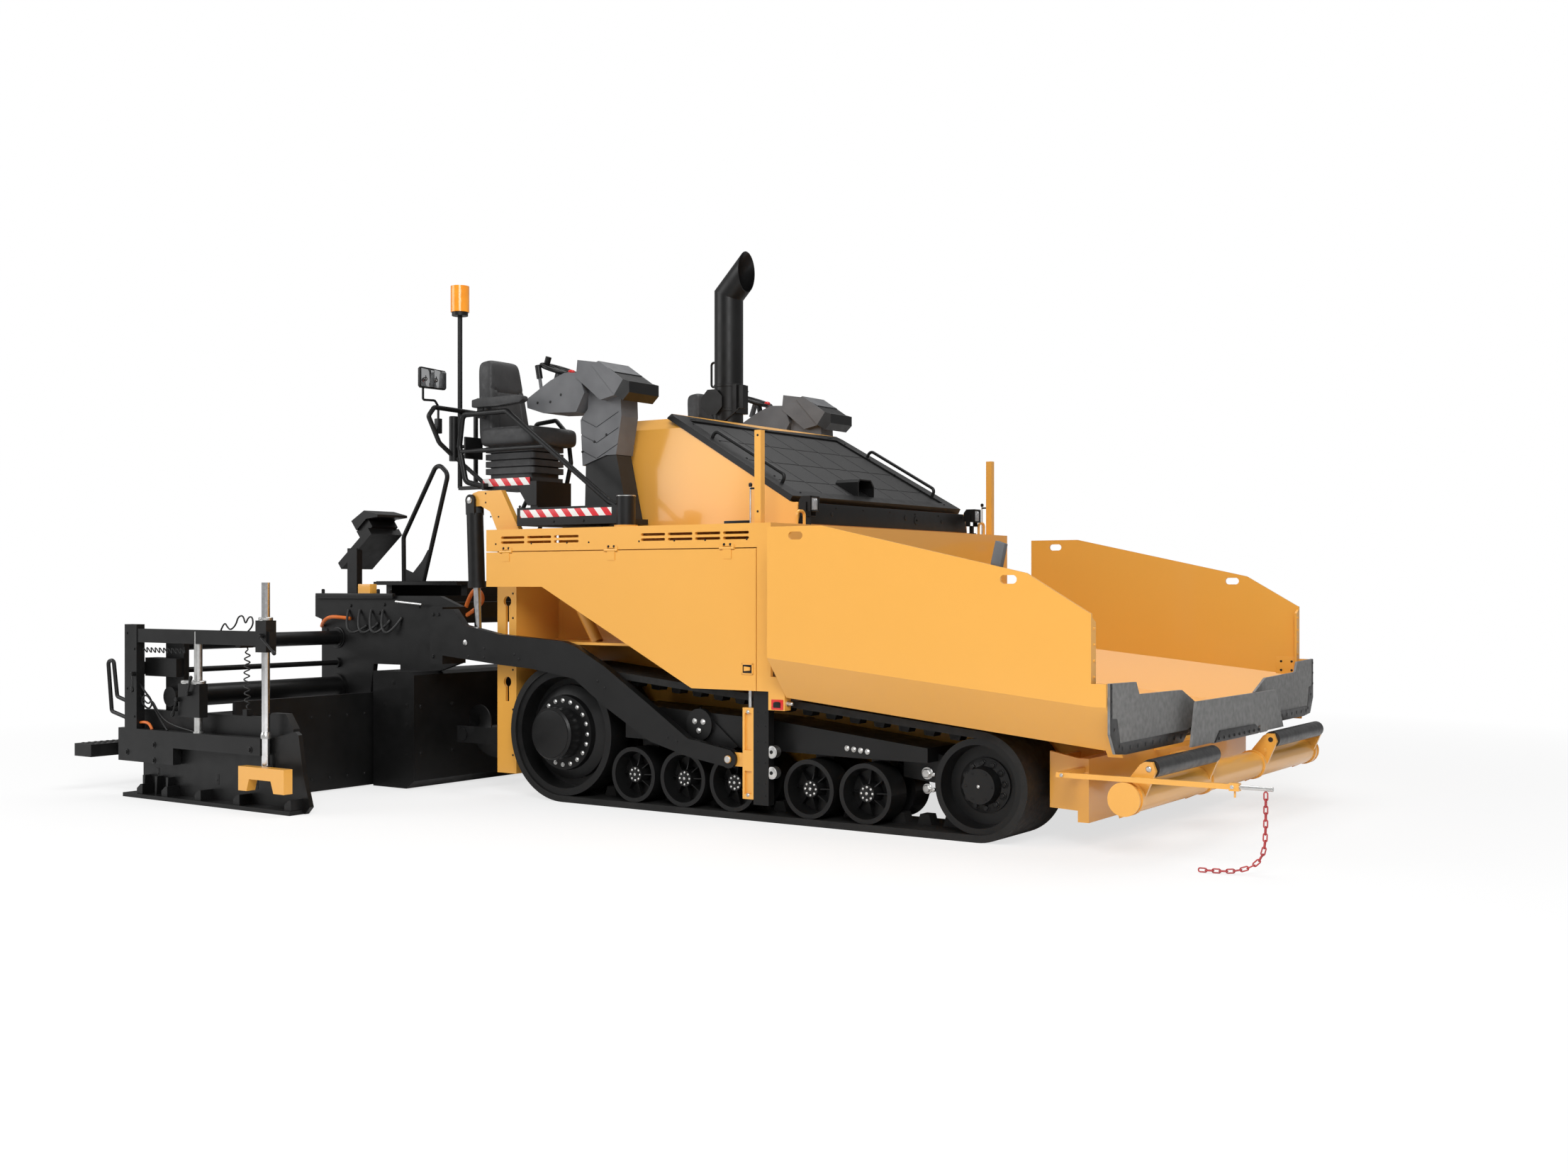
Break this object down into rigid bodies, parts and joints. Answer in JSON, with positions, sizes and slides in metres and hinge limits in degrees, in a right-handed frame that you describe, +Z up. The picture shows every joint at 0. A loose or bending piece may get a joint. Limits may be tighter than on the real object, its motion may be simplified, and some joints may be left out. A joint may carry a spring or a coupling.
{
  "type": "tracked asphalt paver",
  "caption": "Tracked asphalt paver with a folding receiving hopper, twin operator stations and a floating screed with extending sides.",
  "frame": {"origin": "on the ground under the middle of the machine's length and width", "axes": "+X forward to the hopper, +Y to the machine's left, +Z up"},
  "size_m": [7.83, 5.692, 3.6764],
  "materials": {
    "yellow_paint": "gloss paint",
    "black_paint": "satin paint",
    "red_paint": "worn paint",
    "chrome": "polished",
    "rubber_flap": "matte",
    "track_rubber": "matte",
    "roller_black": "satin paint",
    "grey_plastic": "textured",
    "seat_cover": "matte",
    "cord_black": "matte",
    "amber_lens": "clear gloss"
  },
  "bodies": {
    "tractor": {"main_frame": "yellow_paint", "undercarriage": "black_paint", "drive_wheels": "black_paint", "idler_wheels": "black_paint", "bogie_wheels": "black_paint", "track_left": "track_rubber", "track_right": "track_rubber", "engine_block": "black_paint", "side_panels": "yellow_paint", "deck": "yellow_paint", "hood": "yellow_paint", "exhaust_stack": "black_paint", "deck_posts": "yellow_paint", "work_lamps": "black_paint", "conveyor": "black_paint", "tow_guides": "black_paint", "lift_brackets": "yellow_paint", "guide_rod": "yellow_paint", "guide_chain": "red_paint", "auger_drive": "black_paint"},
    "apron": {"apron_flap": "rubber_flap"},
    "push_beam": {"push_beam": "yellow_paint"},
    "hood_grille": {"hood_grille": "black_paint"},
    "tow_sliders": {"tow_sliders": "yellow_paint"},
    "screed": {"tow_arms": "black_paint", "main_screed": "black_paint", "screed_frame": "black_paint", "screed_walkway": "black_paint", "screed_pods": "black_paint"},
    "hopper_wing_left": {"hopper_wing_left": "yellow_paint", "wing_flap_left": "rubber_flap"},
    "push_roller_left": {"push_roller_left": "roller_black"},
    "side_door_left": {"side_door_left": "yellow_paint"},
    "extender_left": {"extender_left": "black_paint", "gate_frame_left": "black_paint", "sensor_post_left": "chrome", "curly_cord_left": "cord_black"},
    "end_gate_left": {"end_gate_left": "black_paint"},
    "lift_barrel_left": {"lift_barrel_left": "black_paint"},
    "lift_rod_left": {"lift_rod_left": "chrome"},
    "auger_left": {"auger_left": "black_paint"},
    "station_left": {"station_base_left": "black_paint", "seat_left": "seat_cover", "console_left": "grey_plastic"},
    "hopper_wing_right": {"hopper_wing_right": "yellow_paint", "wing_flap_right": "rubber_flap"},
    "push_roller_right": {"push_roller_right": "roller_black"},
    "side_door_right": {"side_door_right": "yellow_paint"},
    "extender_right": {"extender_right": "black_paint", "gate_frame_right": "black_paint", "sensor_post_right": "chrome", "curly_cord_right": "cord_black"},
    "end_gate_right": {"end_gate_right": "black_paint"},
    "lift_barrel_right": {"lift_barrel_right": "black_paint"},
    "lift_rod_right": {"lift_rod_right": "chrome"},
    "auger_right": {"auger_right": "black_paint"},
    "station_right": {"station_base_right": "black_paint", "seat_right": "seat_cover", "console_right": "grey_plastic", "beacon": "amber_lens"}
  },
  "joints": [
    {"name": "hopper_wing_left_fold", "type": "hinge", "parent": "tractor", "child": "hopper_wing_left", "pos_m": [1.135, 0.76, 0.744], "axis": [0.9951, 0, -0.0988], "range_deg": [0, 40]},
    {"name": "hopper_wing_right_fold", "type": "hinge", "parent": "tractor", "child": "hopper_wing_right", "pos_m": [1.135, -0.76, 0.744], "axis": [-0.9951, 0, 0.0988], "range_deg": [0, 40]},
    {"name": "apron_tilt", "type": "hinge", "parent": "tractor", "child": "apron", "pos_m": [3.236, 0, 0.522], "axis": [0, 1, 0], "range_deg": [0, 40]},
    {"name": "push_beam_swing", "type": "hinge", "parent": "tractor", "child": "push_beam", "pos_m": [2.941, 0, 0.307], "axis": [0, 0, 1], "range_deg": [-5, 5]},
    {"name": "push_roller_left_spin", "type": "hinge", "parent": "push_beam", "child": "push_roller_left", "pos_m": [3.268, 0.956, 0.456], "axis": [0, 1, 0], "continuous": true},
    {"name": "push_roller_right_spin", "type": "hinge", "parent": "push_beam", "child": "push_roller_right", "pos_m": [3.268, -0.956, 0.456], "axis": [0, 1, 0], "continuous": true},
    {"name": "hood_grille_open", "type": "hinge", "parent": "tractor", "child": "hood_grille", "pos_m": [-0.132, 0, 2.441], "axis": [0, -1, 0], "range_deg": [0, 55]},
    {"name": "side_door_left_open", "type": "hinge", "parent": "tractor", "child": "side_door_left", "pos_m": [0, 1.5, 1.59], "axis": [1, 0, 0], "range_deg": [0, 75]},
    {"name": "side_door_right_open", "type": "hinge", "parent": "tractor", "child": "side_door_right", "pos_m": [0, -1.5, 1.59], "axis": [-1, 0, 0], "range_deg": [0, 75]},
    {"name": "tow_slide", "type": "slide", "parent": "tractor", "child": "tow_sliders", "axis": [0, 0, 1], "range_m": [0, 0.15]},
    {"name": "screed_lift", "type": "hinge", "parent": "tow_sliders", "child": "screed", "pos_m": [0.701, 0, 0.357], "axis": [0, 1, 0], "range_deg": [0, 9]},
    {"name": "lift_barrel_left_swing", "type": "hinge", "parent": "tractor", "child": "lift_barrel_left", "pos_m": [-1.475, 1.345, 1.937], "axis": [0, 1, 0], "range_deg": [-12, 0]},
    {"name": "lift_rod_left_slide", "type": "slide", "parent": "lift_barrel_left", "child": "lift_rod_left", "axis": [0.0383, 0, -0.9993], "range_m": [-0.31, 0]},
    {"name": "extender_left_slide", "type": "slide", "parent": "screed", "child": "extender_left", "axis": [0, 1, 0], "range_m": [-1.09, 0.25]},
    {"name": "end_gate_left_slide", "type": "slide", "parent": "extender_left", "child": "end_gate_left", "axis": [0, 0, 1], "range_m": [0, 0.08]},
    {"name": "auger_left_spin", "type": "hinge", "parent": "tractor", "child": "auger_left", "pos_m": [-1.64, 0.65, 0.372], "axis": [0, 1, 0], "continuous": true},
    {"name": "station_left_swing", "type": "hinge", "parent": "tractor", "child": "station_left", "pos_m": [-0.125, 1.4, 1.8], "axis": [0, 0, -1], "range_deg": [0, 18]},
    {"name": "lift_barrel_right_swing", "type": "hinge", "parent": "tractor", "child": "lift_barrel_right", "pos_m": [-1.475, -1.345, 1.937], "axis": [0, 1, 0], "range_deg": [-12, 0]},
    {"name": "lift_rod_right_slide", "type": "slide", "parent": "lift_barrel_right", "child": "lift_rod_right", "axis": [0.0383, 0, -0.9993], "range_m": [-0.31, 0]},
    {"name": "extender_right_slide", "type": "slide", "parent": "screed", "child": "extender_right", "axis": [0, -1, 0], "range_m": [-1.09, 0.25]},
    {"name": "end_gate_right_slide", "type": "slide", "parent": "extender_right", "child": "end_gate_right", "axis": [0, 0, 1], "range_m": [0, 0.08]},
    {"name": "auger_right_spin", "type": "hinge", "parent": "tractor", "child": "auger_right", "pos_m": [-1.64, -0.65, 0.372], "axis": [0, 1, 0], "continuous": true},
    {"name": "station_right_swing", "type": "hinge", "parent": "tractor", "child": "station_right", "pos_m": [-0.125, -1.4, 1.8], "axis": [0, 0, 1], "range_deg": [0, 18]}
  ],
  "couplings": [
    {"joint": "lift_barrel_left_swing", "follows": "screed_lift", "ratio": -1.27},
    {"joint": "lift_rod_left_slide", "follows": "screed_lift", "m_per_rad": -1.951},
    {"joint": "lift_barrel_right_swing", "follows": "screed_lift", "ratio": -1.27},
    {"joint": "lift_rod_right_slide", "follows": "screed_lift", "m_per_rad": -1.951}
  ]
}
